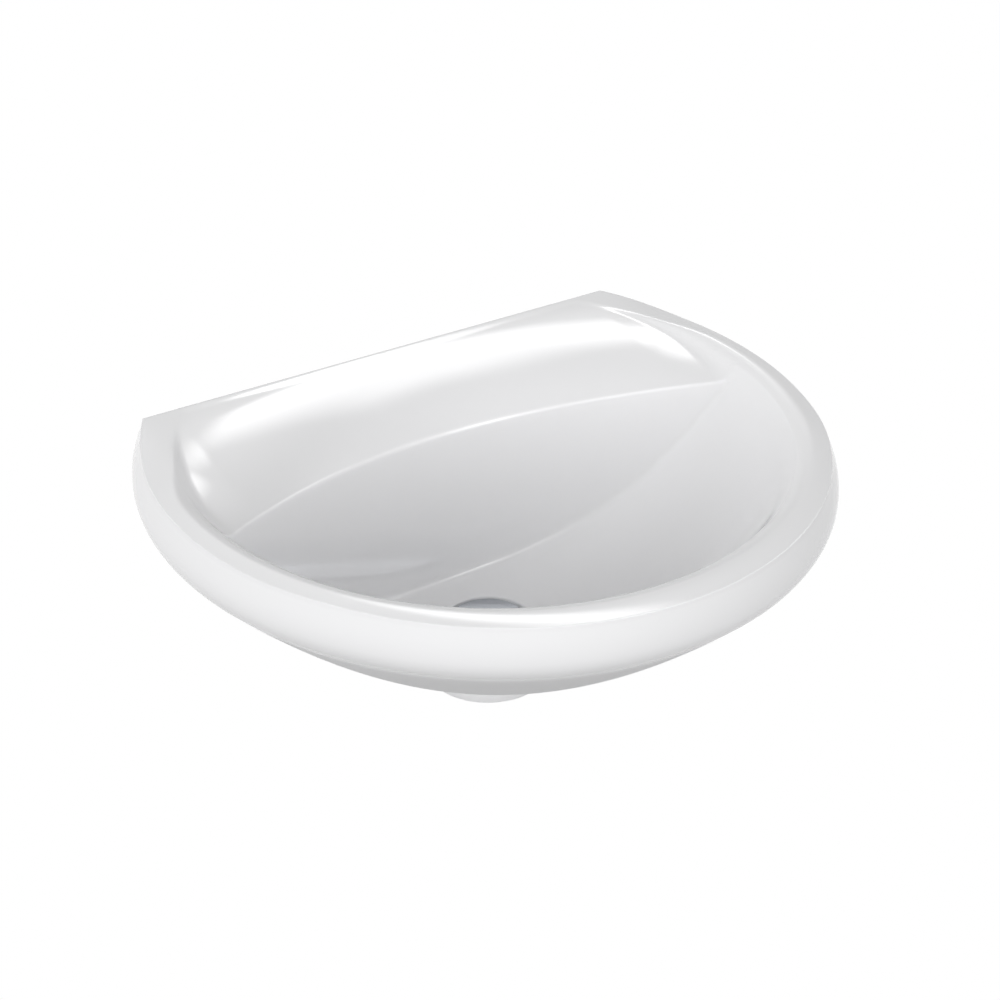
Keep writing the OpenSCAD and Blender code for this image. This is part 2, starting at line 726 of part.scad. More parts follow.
module nut_caps() {
    color("white")
        at_fixings()
            translate([0, 0, -head_y])
                difference() {
                    union() {
                        cylinder(h = cap_l - 4, d = cap_d, $fn = 64);
                        translate([0, 0, cap_l - 4]) cylinder(h = 4, d1 = cap_d, d2 = cap_d - 6, $fn = 64);
                    }
                    translate([0, 0, -1]) cylinder(h = cap_l + 1 - cap_wall - 3, d = cap_d - 2 * cap_wall, $fn = 64);
                    cylinder(h = cap_l - cap_wall, d = cap_d - 2 * cap_wall - 8, $fn = 64);
                }
}

basin();
waste_body();
waste_top_gasket();
waste_lower_gasket();
waste_slip_washer();
waste_back_nut();
latch_barrel();
latch_end_cap();
latch_spring();
ratchet_ring();
plug_cover();
plug_seal();
plug_stem();
stem_lock_nut();
wall_plugs();
hanger_bolts();
fixing_sleeves();
fixing_washers();
fixing_nuts();
nut_caps();
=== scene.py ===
import math

import bmesh
import bpy
import numpy as np
from mathutils import Euler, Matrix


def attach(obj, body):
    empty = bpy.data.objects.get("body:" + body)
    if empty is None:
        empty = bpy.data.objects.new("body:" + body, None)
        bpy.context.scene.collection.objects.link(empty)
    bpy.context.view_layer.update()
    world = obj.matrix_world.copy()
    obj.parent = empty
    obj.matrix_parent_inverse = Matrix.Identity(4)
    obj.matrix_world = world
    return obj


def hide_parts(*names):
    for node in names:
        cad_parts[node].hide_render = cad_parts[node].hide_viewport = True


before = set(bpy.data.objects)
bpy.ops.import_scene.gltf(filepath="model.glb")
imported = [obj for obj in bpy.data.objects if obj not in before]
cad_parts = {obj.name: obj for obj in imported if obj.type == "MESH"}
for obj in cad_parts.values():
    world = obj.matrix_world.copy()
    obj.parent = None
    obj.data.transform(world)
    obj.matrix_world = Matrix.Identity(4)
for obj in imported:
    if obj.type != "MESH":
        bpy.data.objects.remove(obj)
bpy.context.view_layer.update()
scene = bpy.context.scene
mm = 0.001
print("frame loaded:", len(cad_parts), "nodes")


# small helpers

def srgb(hexText):
    # "#rrggbb" to the linear colour that a shader socket takes
    parts = [int(hexText[i:i + 2], 16) / 255 for i in (1, 3, 5)]
    return [c / 12.92 if c <= 0.04045 else ((c + 0.055) / 1.055) ** 2.4 for c in parts] + [1.0]


def addNode(tree, kind, settings=None, inputs=None, links=None):
    # one node, its settings, its socket values and the sockets it is fed from
    node = tree.nodes.new(kind)
    for name, value in (settings or {}).items():
        setattr(node, name, value)
    for name, value in (inputs or {}).items():
        node.inputs[name].default_value = value
    for name, source in (links or {}).items():
        tree.links.new(source, node.inputs[name])
    return node


def newMaterial(name):
    mat = bpy.data.materials.new(name)
    mat.use_nodes = True
    mat.node_tree.nodes.clear()
    return mat, mat.node_tree


def meshObject(name, verts, faces, mat, sharpAngle):
    mesh = bpy.data.meshes.new(name)
    mesh.from_pydata([tuple(v) for v in verts], [], faces)
    mesh.update()
    bm = bmesh.new()
    bm.from_mesh(mesh)
    bmesh.ops.remove_doubles(bm, verts=bm.verts, dist=1e-6)
    bmesh.ops.recalc_face_normals(bm, faces=bm.faces)
    bm.to_mesh(mesh)
    bm.free()
    mesh.shade_smooth()
    mesh.set_sharp_from_angle(angle=math.radians(sharpAngle))
    mesh.materials.append(mat)
    obj = bpy.data.objects.new(name, mesh)
    scene.collection.objects.link(obj)
    return obj


# the basin

basinShape = {
    "width": 450.0, "depth": 369.0, "wallWidth": 363.0, "drainY": 135.5,
    # the apron and the turn under it
    "apronHeight": 23.5, "apronFlare": 4.0, "sideFlare": 7.0, "turnRadius": 20.0, "turnAngle": 38.0,
    # the rim's outer edge: its rounding, its crown in front, and what the two sides have more
    "edgeRadius": 1.0, "wallEdgeRadius": 4.0, "crown": 1.2, "crownRun": 13.0, "crownStart": 0.08,
    "sideCrown": 1.8, "sideCrownRun": 9.0, "sideFrom": -265.0, "sideOver": 70.0,
    # rim and bowl
    "rimWidth": 19.0, "rimFront": 27.0, "rimRoll": 20.0, "rimLevel": 0.1, "valleyRoll": 13.0,
    "bowlDepth": 153.5, "backFullness": 2.5, "frontFullness": 2.4, "fullnessFrom": -0.45,
    "fullnessOver": 0.6, "mouthPower": 0.9, "mouthSlope": 1.8, "floorCrowding": 1.5,
    # the shelf, the back wall under its front edge, and how the two lines open where the wall ends
    "shelfDepth": 76.5, "shelfBow": 18.4, "shelfDrop": 33.6, "shelfRise": 4.9,
    "shelfStart": 4.9, "shelfStartLoss": 1.8, "shelfStartBow": 3.0,
    "shelfRoll": 2.8, "shelfRollLoss": 0.85, "leastRoll": 0.5, "rollTurn": 0.1, "rollOver": 0.3,
    "backWallRun": 0.025, "wallFrom": -0.2, "leastWall": 0.3, "searchTo": 0.96,
    "footFillet": 7.0, "edgeFillet": 3.0, "filletShare": 0.45, "leastHeight": 0.02,
    "openAngle": 25.0, "openFrom": 0.966, "edgeOpens": 0.001, "footOpens": 0.06,
    # the underside, the back panel and the hollow behind the bowl
    "bellyDepth": 157.5, "bellyFullness": 1.95, "bellyBlend": 8.0, "skin": 8.5,
    "panelHeight": 128.0, "panelThickness": 14.0, "panelTaper": 0.2, "panelEnd": 7 / 52, "panelShare": 0.6,
    "hollowWidth": 256.0, "hollowSkin": 13.0, "hollowRoof": 46.0, "hollowPast": 4.0,
    # the boss, the waste's hole and its seat in the bowl
    "bossRadius": 44.0, "bossThickness": 31.5, "bossOverlap": 1.5, "bossBlend": 0.14, "bossEdge": 1.2,
    "bossEdgeMiddle": (0.4, 0.35), "holeEdgeMiddle": (0.3, 0.35), "holeRadius": 23.0, "holeBevel": 0.8,
    "seatRadius": 31.5, "seatDepth": 5.0, "seatRound": 1.0, "lipRun": 1.2, "lipDrop": 1.4, "lipSwell": 0.5,
    # holes for the wall fixings
    "fixDrop": 70.0, "fixPitch": 200.0, "fixHoleRadius": 8.0, "fixHolePast": 1.0,
    "sharpAngle": 40,
}
# how finely each stretch of the casting is drawn
basinSteps = {
    "front": 360, "wall": 110, "floor": 76, "fillet": 8, "backWall": 26, "rim": 60, "edge": 10,
    "apron": 8, "turn": 10, "belly": 44, "boss": 6, "search": 30, "hollow": 24, "fixHole": 48,
}


def softMin(a, b, k):
    h = np.clip(0.5 + 0.5 * (b - a) / k, 0, 1)
    return b + (a - b) * h - k * h * (1 - h)


def smoothStep(t):
    t = np.clip(t, 0, 1)
    return t * t * (3 - 2 * t)


class Basin:
    # the casting's surfaces, with the top edge at height 0 and the wall at y = 0
    def __init__(self, shape):
        self.s = shape
        self.a = shape["width"] / 2 - shape["sideFlare"]
        self.sideMore = shape["sideFlare"] - shape["apronFlare"]
        topDepth = shape["depth"] - shape["apronFlare"]
        share = math.sqrt(1 - (shape["wallWidth"] / 2 / self.a) ** 2)
        self.b = topDepth / (1 + share)
        self.c = -share * self.b
        turn = math.radians(shape["turnAngle"])
        self.turnZ = -shape["apronHeight"] - shape["turnRadius"] * math.sin(turn)
        self.turnInset = shape["turnRadius"] * (1 - math.cos(turn)) - shape["apronFlare"]

    def outline(self, u, inset, back, wide=0.0):
        # u runs 0..1 along the curved front, then 1..2 back along the wall; wide widens the sides alone
        a, b = self.a - inset + wide, self.b - inset
        start = math.asin(max(-1, min(1, (-back - self.c) / b)))
        turn = start - (math.pi + 2 * start) * np.minimum(u, 1)
        cornerX = a * math.cos(start)
        x = np.where(u <= 1, a * np.cos(turn), -cornerX + 2 * cornerX * (u - 1))
        y = np.where(u <= 1, self.c + b * np.sin(turn), -back)
        return np.stack([x, y], -1)

    def reach(self, d):
        # distance from the waste to the bowl's mouth in direction d
        a, b = self.a - self.s["rimWidth"], self.b - self.s["rimFront"]
        o = -self.s["drainY"] - self.c
        qa = (d[..., 0] / a) ** 2 + (d[..., 1] / b) ** 2
        qb = 2 * o * d[..., 1] / b ** 2
        qc = (o / b) ** 2 - 1
        return (-qb + np.sqrt(qb ** 2 - 4 * qa * qc)) / (2 * qa)

    def fullness(self, d):
        more = self.s["backFullness"] - self.s["frontFullness"]
        return self.s["frontFullness"] + more * smoothStep(
            (d[..., 1] - self.s["fullnessFrom"]) / self.s["fullnessOver"])

    def bowlZ(self, r, mouth, full):
        w = np.clip(r / mouth, 0, 1)
        inside = -self.s["bowlDepth"] * (1 - w ** full) ** self.s["mouthPower"]
        return np.where(r >= mouth, self.s["mouthSlope"] * (r - mouth), inside)

    def bellyZ(self, r, end, mouth, full):
        drop = self.s["bellyDepth"] + self.turnZ
        free = -self.turnZ + drop * (1 - (r / end) ** self.s["bellyFullness"])
        w = np.minimum(1, r / (mouth + self.s["skin"]))
        under = (self.s["bowlDepth"] + self.s["skin"]) * (1 - w ** full) ** self.s["mouthPower"]
        return softMin(-free, -under, self.s["bellyBlend"])

    def edgeY(self, x):
        return -self.s["shelfDepth"] - self.s["shelfBow"] * (x / 100) ** 2

    def edgeZ(self, x):
        return -self.s["shelfDrop"] + self.s["shelfRise"] * (x / 100) ** 2

    def shelfZ(self, p):
        # leaves the wall almost level and steepens evenly to its front edge
        u = (p[..., 0] / 100) ** 2
        fullRun = -self.edgeY(p[..., 0]) - self.s["shelfStartBow"] * u
        last = np.tan(np.radians(np.maximum(0, self.s["shelfStart"] - self.s["shelfStartLoss"] * u)))
        first = -2 * self.edgeZ(p[..., 0]) / fullRun - last
        pastEdge = p[..., 1] - self.edgeY(p[..., 0])
        run = np.minimum(pastEdge, fullRun)
        rise = first * run - (first - last) * run * run / fullRun / 2
        return self.edgeZ(p[..., 0]) + rise + last * (pastEdge - run)

    def backWallZ(self, p):
        return self.edgeZ(p[..., 0]) - (self.edgeY(p[..., 0]) - p[..., 1]) / self.s["backWallRun"]

    def topZ(self, p, mouth, full):
        s = self.s
        r = np.hypot(p[..., 0], p[..., 1] + s["drainY"])
        cut = np.where(p[..., 1] > self.edgeY(p[..., 0]), self.shelfZ(p), self.backWallZ(p))
        # the shelf rolls off the top edge gently, the rest of the rim more fully
        share = smoothStep(((p[..., 1] + s["drainY"]) / r - s["rollTurn"]) / s["rollOver"])
        shelfRoll = np.maximum(s["leastRoll"], s["shelfRoll"] - s["shelfRollLoss"] * (p[..., 0] / 100) ** 2)
        roll = s["rimRoll"] + (shelfRoll - s["rimRoll"]) * share
        return softMin(0.0, -softMin(-self.bowlZ(r, mouth, full), -cut, s["valleyRoll"]), roll)

    def along(self, d, r):
        return np.stack([r * d[..., 0], r * d[..., 1] - self.s["drainY"]], -1)


class Casting(Basin):
    # the casting as closed rings of points, from the waste's hole over bowl, rim and apron to the boss
    def __init__(self, shape, steps):
        super().__init__(shape)
        s = shape
        self.steps = steps
        self.rows = []  # each row is one ring of n points
        self.u = np.concatenate([np.linspace(0, 1, steps["front"] + 1),
                                 1 + np.linspace(0, 1, steps["wall"] + 1)[1:-1]])
        self.n = len(self.u)
        endPoint = self.outline(self.u, s["edgeRadius"], s["wallEdgeRadius"]) + [0, s["drainY"]]
        self.end = np.hypot(endPoint[:, 0], endPoint[:, 1])
        self.d = endPoint / self.end[:, None]
        self.mouth, self.full = self.reach(self.d), self.fullness(self.d)
        self.fromWall = np.where(self.u > 1, 0, np.minimum(self.u, 1 - self.u))
        self.alongFront = smoothStep(self.fromWall / s["crownStart"])
        self.holeZ = float(self.bowlZ(np.array(s["seatRadius"]), np.array(self.a - s["rimWidth"]),
                                      np.array(s["backFullness"])))
        self.seatZ = self.holeZ - s["seatDepth"]
        self.bossZ = self.seatZ - s["bossThickness"]
        self.bossTopZ = s["bossOverlap"] - s["bowlDepth"] - s["skin"]

    def spread(self, name, last=1.0):
        # even steps from just past 0 up to the last value
        return np.linspace(0, last, self.steps[name] + 1)[1:]

    def ring(self, r, z):
        # a ring at distance r from the waste's axis
        p = self.along(self.d, np.broadcast_to(r, (self.n,)))
        self.rows.append(np.column_stack([p, np.broadcast_to(z, (self.n,))]))

    def sideRing(self, inset, backInset, z, wide=0.0):
        # a ring at a distance in from the outline
        p = self.outline(self.u, inset, backInset, wide)
        self.rows.append(np.column_stack([p, np.broadcast_to(z, (self.n,))]))

    def topAt(self, r):
        return self.topZ(self.along(self.d, r), self.mouth, self.full)

    def wallRing(self, r, z):
        # on the back wall the ring has the given height, elsewhere it lies on bowl and rim
        self.ring(r, np.where(self.wall, z, self.topAt(r)))

    def roundedCorner(self, start, corner, end):
        # from one point of each column to another, drawn towards the corner between them
        for t in self.spread("fillet"):
            r = (1 - t) ** 2 * start[0] + 2 * t * (1 - t) * corner[0] + t * t * end[0]
            z = (1 - t) ** 2 * start[1] + 2 * t * (1 - t) * corner[1] + t * t * end[1]
            self.wallRing(r, z)

    def findBackWall(self):
        s, d, mouth, full = self.s, self.d, self.mouth, self.full
        # where each column crosses the shelf's bowed front edge, also where it is nearly straight
        q = s["shelfBow"] * (d[:, 0] / 100) ** 2
        back = s["shelfDepth"] - s["drainY"]
        cross = (-d[:, 1] + np.sqrt(np.maximum(0, d[:, 1] ** 2 - 4 * q * back))) / (2 * np.maximum(q, 1e-9))
        cross = np.where(q < 1e-6, -back / np.where(np.abs(d[:, 1]) < 1e-6, 1e-6, d[:, 1]), cross)
        self.wall = (d[:, 1] > s["wallFrom"]) & (cross > 0) & (cross < mouth)
        self.wall &= self.bowlZ(cross, mouth, full) < self.edgeZ(cross * d[:, 0]) - s["leastWall"]
        # the wall's foot in the bowl, found by halving
        low = np.full(self.n, s["seatRadius"])
        high = np.where(self.wall, cross, s["searchTo"] * mouth)
        for _ in range(self.steps["search"]):
            middle = (low + high) / 2
            above = self.bowlZ(middle, mouth, full) > self.backWallZ(self.along(d, middle))
            low, high = np.where(above, middle, low), np.where(above, high, middle)
        # away from the back wall the two lines open out again, softly
        angle = np.degrees(np.arctan2(d[:, 1], np.abs(d[:, 0])))
        opening = smoothStep((angle[self.wall].min() - angle) / s["openAngle"])
        self.edge = np.where(self.wall, cross, (s["openFrom"] - s["edgeOpens"] * opening) * mouth)
        self.foot = np.where(self.wall, (low + high) / 2, (s["openFrom"] - s["footOpens"] * opening) * mouth)
        self.edgeH = self.topAt(self.edge)
        self.footH = np.where(self.wall, self.bowlZ(self.foot, mouth, full), self.topAt(self.foot))
        # its two corners are rounded, less where the wall is low
        wallHeight = np.maximum(self.edgeH - self.footH, s["leastHeight"])
        self.footCut = np.minimum(s["footFillet"], s["filletShare"] * wallHeight)
        self.edgeCut = np.minimum(s["edgeFillet"], s["filletShare"] * wallHeight)
        self.wallLean = (self.edge - self.foot) / wallHeight

    def addSeat(self):
        # the waste's hole, its seat and the soft lip round the seat
        s = self.s
        self.ring(s["holeRadius"], self.bossZ + s["bossEdge"])
        self.ring(s["holeRadius"], self.seatZ - s["holeBevel"])
        self.ring(s["holeRadius"] + s["holeBevel"], self.seatZ)
        self.ring(s["seatRadius"] - s["seatRound"], self.seatZ)
        self.ring(s["seatRadius"], self.seatZ + s["seatRound"])
        self.lip = s["seatRadius"] + s["lipRun"]
        lipZ = self.bowlZ(np.full(self.n, self.lip), self.mouth, self.full)
        for t in (0.0, 0.3, 0.6, 1.0):
            z = (self.holeZ - s["lipDrop"]) * (1 - t) + lipZ * t + s["lipSwell"] * t * (1 - t)
            self.ring(s["seatRadius"] + s["lipRun"] * t * t, z)

    def addBowl(self):
        floorEnd = self.foot - self.footCut
        for t in self.spread("floor"):
            # closer rings where the bowl is steep
            r = self.lip + (floorEnd - self.lip) * (1 - (1 - t) ** self.s["floorCrowding"])
            self.wallRing(r, self.bowlZ(r, self.mouth, self.full))

    def addBackWall(self):
        floorEnd = self.foot - self.footCut
        wallLow = (self.foot + self.wallLean * self.footCut, self.footH + self.footCut)
        wallHigh = (self.edge - self.wallLean * self.edgeCut, self.edgeH - self.edgeCut)
        shelfStart = self.edge + self.edgeCut
        self.roundedCorner((floorEnd, self.bowlZ(floorEnd, self.mouth, self.full)),
                           (self.foot, self.footH), wallLow)
        for t in self.spread("backWall"):
            self.wallRing(*(low + (high - low) * t for low, high in zip(wallLow, wallHigh)))
        self.roundedCorner(wallHigh, (self.edge, self.edgeH), (shelfStart, self.topAt(shelfStart)))

    def addRim(self):
        # the rim is crowned towards its outer edge, more at the two sides and not along the wall
        s = self.s
        atSide = smoothStep((self.end * self.d[:, 1] - s["drainY"] - s["sideFrom"]) / s["sideOver"])
        self.crown = (s["crown"] + s["sideCrown"] * atSide) * self.alongFront
        crownRun = s["crownRun"] + s["sideCrownRun"] * atSide
        shelfStart = self.edge + self.edgeCut
        for t in self.spread("rim"):
            r = shelfStart + (self.end - shelfStart) * t
            fall = np.clip(1 - (self.end - r) / crownRun, 0, 1) ** 2
            level = 1 - smoothStep((t - (1 - s["rimLevel"])) / s["rimLevel"])
            self.ring(r, self.topAt(r) * level - self.crown * fall)

    def addApron(self):
        # the rounded outer edge, the apron that swells out below it and the turn under it
        s = self.s
        edgeDrop = s["edgeRadius"] + (s["wallEdgeRadius"] - s["edgeRadius"]) * (1 - self.alongFront)
        for t in self.spread("edge", math.pi / 2):
            self.sideRing(s["edgeRadius"] * (1 - math.sin(t)), s["wallEdgeRadius"] * (1 - math.sin(t)),
                          -self.crown - edgeDrop * (1 - math.cos(t)))
        for t in self.spread("apron"):
            top = -self.crown - edgeDrop
            swell = math.sin(t * math.pi / 2)
            self.sideRing(-s["apronFlare"] * swell, 0, top + (-s["apronHeight"] - top) * t,
                          self.sideMore * swell)
        for t in self.spread("turn", math.radians(s["turnAngle"])):
            self.sideRing(s["turnRadius"] * (1 - math.cos(t)) - s["apronFlare"], 0,
                          -s["apronHeight"] - s["turnRadius"] * math.sin(t), self.sideMore)

    def addUnderside(self):
        # belly in front, panel along the wall, blended past the corners
        s = self.s
        start = self.outline(self.u, self.turnInset, 0, self.sideMore)
        startLine = start + [0, s["drainY"]]
        startR = np.hypot(startLine[:, 0], startLine[:, 1])
        startD = startLine / startR[:, None]
        panelPart = 1 - smoothStep(self.fromWall / s["panelEnd"])[:, None]
        bossPoint = np.column_stack([self.along(self.d, s["bossRadius"]), np.full(self.n, self.bossTopZ)])
        for t in self.spread("belly"):
            r = startR + (s["bossRadius"] - startR) * t
            dirs = startD + (self.d - startD) * t
            dirs = dirs / np.hypot(dirs[:, 0], dirs[:, 1])[:, None]
            belly = np.column_stack([self.along(dirs, r), self.bellyZ(r, startR, self.mouth, self.full)])
            belly = belly + (bossPoint - belly) * smoothStep((t - (1 - s["bossBlend"])) / s["bossBlend"])
            down = min(1.0, t / s["panelShare"])
            footZ = self.turnZ - (s["panelHeight"] + self.turnZ) * down
            panelFoot = np.column_stack([start[:, 0] * (1 - s["panelTaper"] * down * down), start[:, 1],
                                         np.full(self.n, footZ)])
            inward = max(0.0, (t - s["panelShare"]) / (1 - s["panelShare"]))
            panel = panelFoot + (bossPoint - panelFoot) * inward
            self.rows.append(belly + (panel - belly) * panelPart)

    def addBoss(self):
        s = self.s
        for t in self.spread("boss"):
            self.ring(s["bossRadius"], self.bossTopZ + (self.bossZ + s["bossEdge"] - self.bossTopZ) * t)
        self.ring(s["bossRadius"] - s["bossEdgeMiddle"][0], self.bossZ + s["bossEdgeMiddle"][1])
        self.ring(s["bossRadius"] - s["bossEdge"], self.bossZ)
        self.ring(s["holeRadius"] + s["bossEdge"], self.bossZ)
        self.ring(s["holeRadius"] + s["holeEdgeMiddle"][0], self.bossZ + s["holeEdgeMiddle"][1])

    def build(self):
        self.findBackWall()
        self.addSeat()
        self.addBowl()
        self.addBackWall()
        self.addRim()
        self.addApron()
        self.addUnderside()
        self.addBoss()
        verts = np.concatenate(self.rows)
        verts[:, 2] += self.s["fixDrop"]
        faces = []
        for j in range(len(self.rows)):
            k = (j + 1) % len(self.rows)
            for i in range(self.n):
                i2 = (i + 1) % self.n
                faces.append((j * self.n + i, j * self.n + i2, k * self.n + i2, k * self.n + i))
        return verts * mm, faces


def cutter(name, outline, low, high, axis="z"):
    # a straight prism in mm, used to cut the casting
    bm = bmesh.new()
    ends = []
    for h in (low, high):
        points = [(x, y, h) if axis == "z" else (x, h, y) for x, y in outline]
        ends.append([bm.verts.new([v * mm for v in p]) for p in points])
    bottom, top = ends
    bm.faces.new(bottom)
    bm.faces.new(top)
    for i in range(len(outline)):
        j = (i + 1) % len(outline)
        bm.faces.new((bottom[i], bottom[j], top[j], top[i]))
    bmesh.ops.recalc_face_normals(bm, faces=bm.faces)
    mesh = bpy.data.meshes.new(name)
    bm.to_mesh(mesh)
    bm.free()
    obj = bpy.data.objects.new(name, mesh)
    scene.collection.objects.link(obj)
    return obj


def hollowCutter(casting):
    # the hollow between bowl and back panel, open at the bottom
    s = casting.s
    half = s["hollowWidth"] / 2
    along = np.linspace(-half, half, casting.steps["hollow"] + 1)
    front = [(x, float(casting.edgeY(x)) + s["hollowSkin"]) for x in along]
    back = [(half, -s["panelThickness"]), (-half, -s["panelThickness"])]
    return cutter("hollowCut", back + front, casting.bossZ - s["hollowPast"] + s["fixDrop"],
                  s["fixDrop"] - s["hollowRoof"])


def fixHoleCutter(casting, sideSign):
    s = casting.s
    middle, radius = sideSign * s["fixPitch"] / 2, s["fixHoleRadius"]
    angles = np.linspace(0, 2 * math.pi, casting.steps["fixHole"] + 1)[:-1]
    circle = [(middle + radius * math.cos(a), radius * math.sin(a)) for a in angles]
    return cutter("fixHoleCut", circle, -s["panelThickness"] - s["fixHolePast"], s["fixHolePast"], "y")


def cutAway(obj, cutters):
    for tool in cutters:
        mod = obj.modifiers.new("cut", "BOOLEAN")
        mod.operation = "DIFFERENCE"
        mod.solver = "MANIFOLD"
        mod.object = tool
    bpy.context.view_layer.update()
    done = obj.evaluated_get(bpy.context.evaluated_depsgraph_get())
    mesh = bpy.data.meshes.new_from_object(done)
    obj.modifiers.clear()
    obj.data = mesh
    for tool in cutters:
        bpy.data.objects.remove(tool)


# vitreous china: slip-cast, glazed and fired; the eye sees a clear, wet gloss over an even cool white
def chinaMaterial():
    look = {"body": "#EDEDEE", "roughness": 0.05, "ior": 1.52,
            "waveSize": 14.0, "waveDepth": 0.02, "waveStrength": 0.08,
            "thinGlazeRoughness": 0.50, "thinGlazeTop": 42.0, "thinGlazeFull": 22.0}
    mat, tree = newMaterial("vitreousChinaGlazed")
    coords = addNode(tree, "ShaderNodeTexCoord")
    # the glaze flows a little as it melts; 14 mm waves, far too low to see except in reflections
    wave = addNode(tree, "ShaderNodeTexNoise", {"noise_dimensions": "3D"},
                   {"Scale": 1 / (look["waveSize"] * mm), "Detail": 1.0, "Roughness": 0.4},
                   {"Vector": coords.outputs["Object"]})
    bump = addNode(tree, "ShaderNodeBump", None,
                   {"Strength": look["waveStrength"], "Distance": look["waveDepth"] * mm},
                   {"Height": wave.outputs["Fac"]})
    # under the apron the sprayed glaze is thin and dull; the bowl inside keeps its full gloss
    height = addNode(tree, "ShaderNodeSeparateXYZ", None, None, {"Vector": coords.outputs["Object"]})
    facing = addNode(tree, "ShaderNodeSeparateXYZ", None, None, {"Vector": coords.outputs["Normal"]})
    low = addNode(tree, "ShaderNodeMapRange", {"interpolation_type": "SMOOTHSTEP"},
                  {"From Min": look["thinGlazeFull"] * mm, "From Max": look["thinGlazeTop"] * mm,
                   "To Min": 1.0, "To Max": 0.0}, {"Value": height.outputs["Z"]})
    down = addNode(tree, "ShaderNodeMath", {"operation": "LESS_THAN"}, {1: 0.0}, {0: facing.outputs["Z"]})
    thin = addNode(tree, "ShaderNodeMath", {"operation": "MULTIPLY"}, None,
                   {0: low.outputs[0], 1: down.outputs[0]})
    rough = addNode(tree, "ShaderNodeMapRange", None,
                    {"To Min": look["roughness"], "To Max": look["thinGlazeRoughness"]},
                    {"Value": thin.outputs[0]})
    surface = addNode(tree, "ShaderNodeBsdfPrincipled", None,
                      {"Base Color": srgb(look["body"]), "IOR": look["ior"]},
                      {"Roughness": rough.outputs["Result"], "Normal": bump.outputs["Normal"]})
    addNode(tree, "ShaderNodeOutputMaterial", None, None, {"Surface": surface.outputs["BSDF"]})
    return mat


china = chinaMaterial()
casting = Casting(basinShape, basinSteps)
verts, faces = casting.build()
basinPiece = meshObject("basin_glazed", verts, faces, china, basinShape["sharpAngle"])
cutAway(basinPiece, [hollowCutter(casting), fixHoleCutter(casting, -1), fixHoleCutter(casting, 1)])
basinPiece.data.set_sharp_from_angle(angle=math.radians(basinShape["sharpAngle"]))
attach(basinPiece, "basin_body")
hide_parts("basin")
print("basin:", len(basinPiece.data.polygons), "faces")


# metals, rubber and plastics

plainFinish = {"grainDepth": 0.02, "vary": 0.15, "sharpAngle": 32}


def plainMaterial(name, look):
    # a solid material with a fine surface grain, its size and depth given in mm
    mat, tree = newMaterial(name)
    coords = addNode(tree, "ShaderNodeTexCoord")
    grain = addNode(tree, "ShaderNodeTexNoise", {"noise_dimensions": "3D"},
                    {"Scale": 1 / (look["grain"] * mm), "Detail": 3.0}, {"Vector": coords.outputs["Object"]})
    spread = addNode(tree, "ShaderNodeMapRange", None,
                     {"From Min": 0.3, "From Max": 0.7,
                      "To Min": look["roughness"] * (1 - plainFinish["vary"]),
                      "To Max": look["roughness"] * (1 + plainFinish["vary"])},
                     {"Value": grain.outputs["Fac"]})
    bump = addNode(tree, "ShaderNodeBump", None,
                   {"Strength": look["bump"], "Distance": plainFinish["grainDepth"] * mm},
                   {"Height": grain.outputs["Fac"]})
    values = {"Base Color": srgb(look["colour"]), "Metallic": look["metallic"]}
    if look["metallic"] < 0.5:
        values["IOR"] = look["ior"]
    surface = addNode(tree, "ShaderNodeBsdfPrincipled", None, values,
                      {"Roughness": spread.outputs["Result"], "Normal": bump.outputs["Normal"]})
    addNode(tree, "ShaderNodeOutputMaterial", None, None, {"Surface": surface.outputs["BSDF"]})
    return mat


# chrome plate over polished brass: a clean mirror that takes the tone of the bowl round it
chrome = plainMaterial("chromePlatedBrass",
    {"colour": "#B4B7BC", "metallic": 1.0, "roughness": 0.10, "grain": 0.6, "bump": 0.02})
# turned brass, unplated: warm, with a fine satin from the tool
brass = plainMaterial("turnedBrass",
    {"colour": "#C9A465", "metallic": 1.0, "roughness": 0.28, "grain": 0.4, "bump": 0.10})
# moulded nitrile rubber: dark and dry
rubber = plainMaterial("mouldedRubber",
    {"colour": "#1D1D1E", "metallic": 0.0, "ior": 1.52, "roughness": 0.70, "grain": 0.5, "bump": 0.25})
# moulded nylon: milky white with a faint texture from the mould
nylon = plainMaterial("mouldedNylon",
    {"colour": "#E2E1DB", "metallic": 0.0, "ior": 1.53, "roughness": 0.42, "grain": 0.8, "bump": 0.10})
# moulded grey nylon of the wall plugs: dull mid grey
greyNylon = plainMaterial("mouldedGreyNylon",
    {"colour": "#8A8C90", "metallic": 0.0, "ior": 1.53, "roughness": 0.5, "grain": 0.8, "bump": 0.12})
# moulded acetal: slick, slightly warm white
acetal = plainMaterial("mouldedAcetal",
    {"colour": "#DAD9D2", "metallic": 0.0, "ior": 1.48, "roughness": 0.32, "grain": 0.7, "bump": 0.06})
# the same acetal coloured through
orangeAcetal = plainMaterial("mouldedOrangeAcetal",
    {"colour": "#D9691E", "metallic": 0.0, "ior": 1.48, "roughness": 0.34, "grain": 0.7, "bump": 0.06})
# drawn stainless wire: bright grey with lines too fine to see, drawn as a fine grain
wire = plainMaterial("drawnStainlessWire",
    {"colour": "#A9ABAE", "metallic": 1.0, "roughness": 0.25, "grain": 0.3, "bump": 0.08})
# zinc-plated steel: cool grey, a little cloudy
zinc = plainMaterial("zincPlatedSteel",
    {"colour": "#B8BBBF", "metallic": 1.0, "roughness": 0.33, "grain": 1.2, "bump": 0.08})
# blow-moulded white polythene of the nut caps: soft white gloss
polythene = plainMaterial("mouldedPolythene",
    {"colour": "#E9E9E8", "metallic": 0.0, "ior": 1.51, "roughness": 0.28, "grain": 1.5, "bump": 0.05})

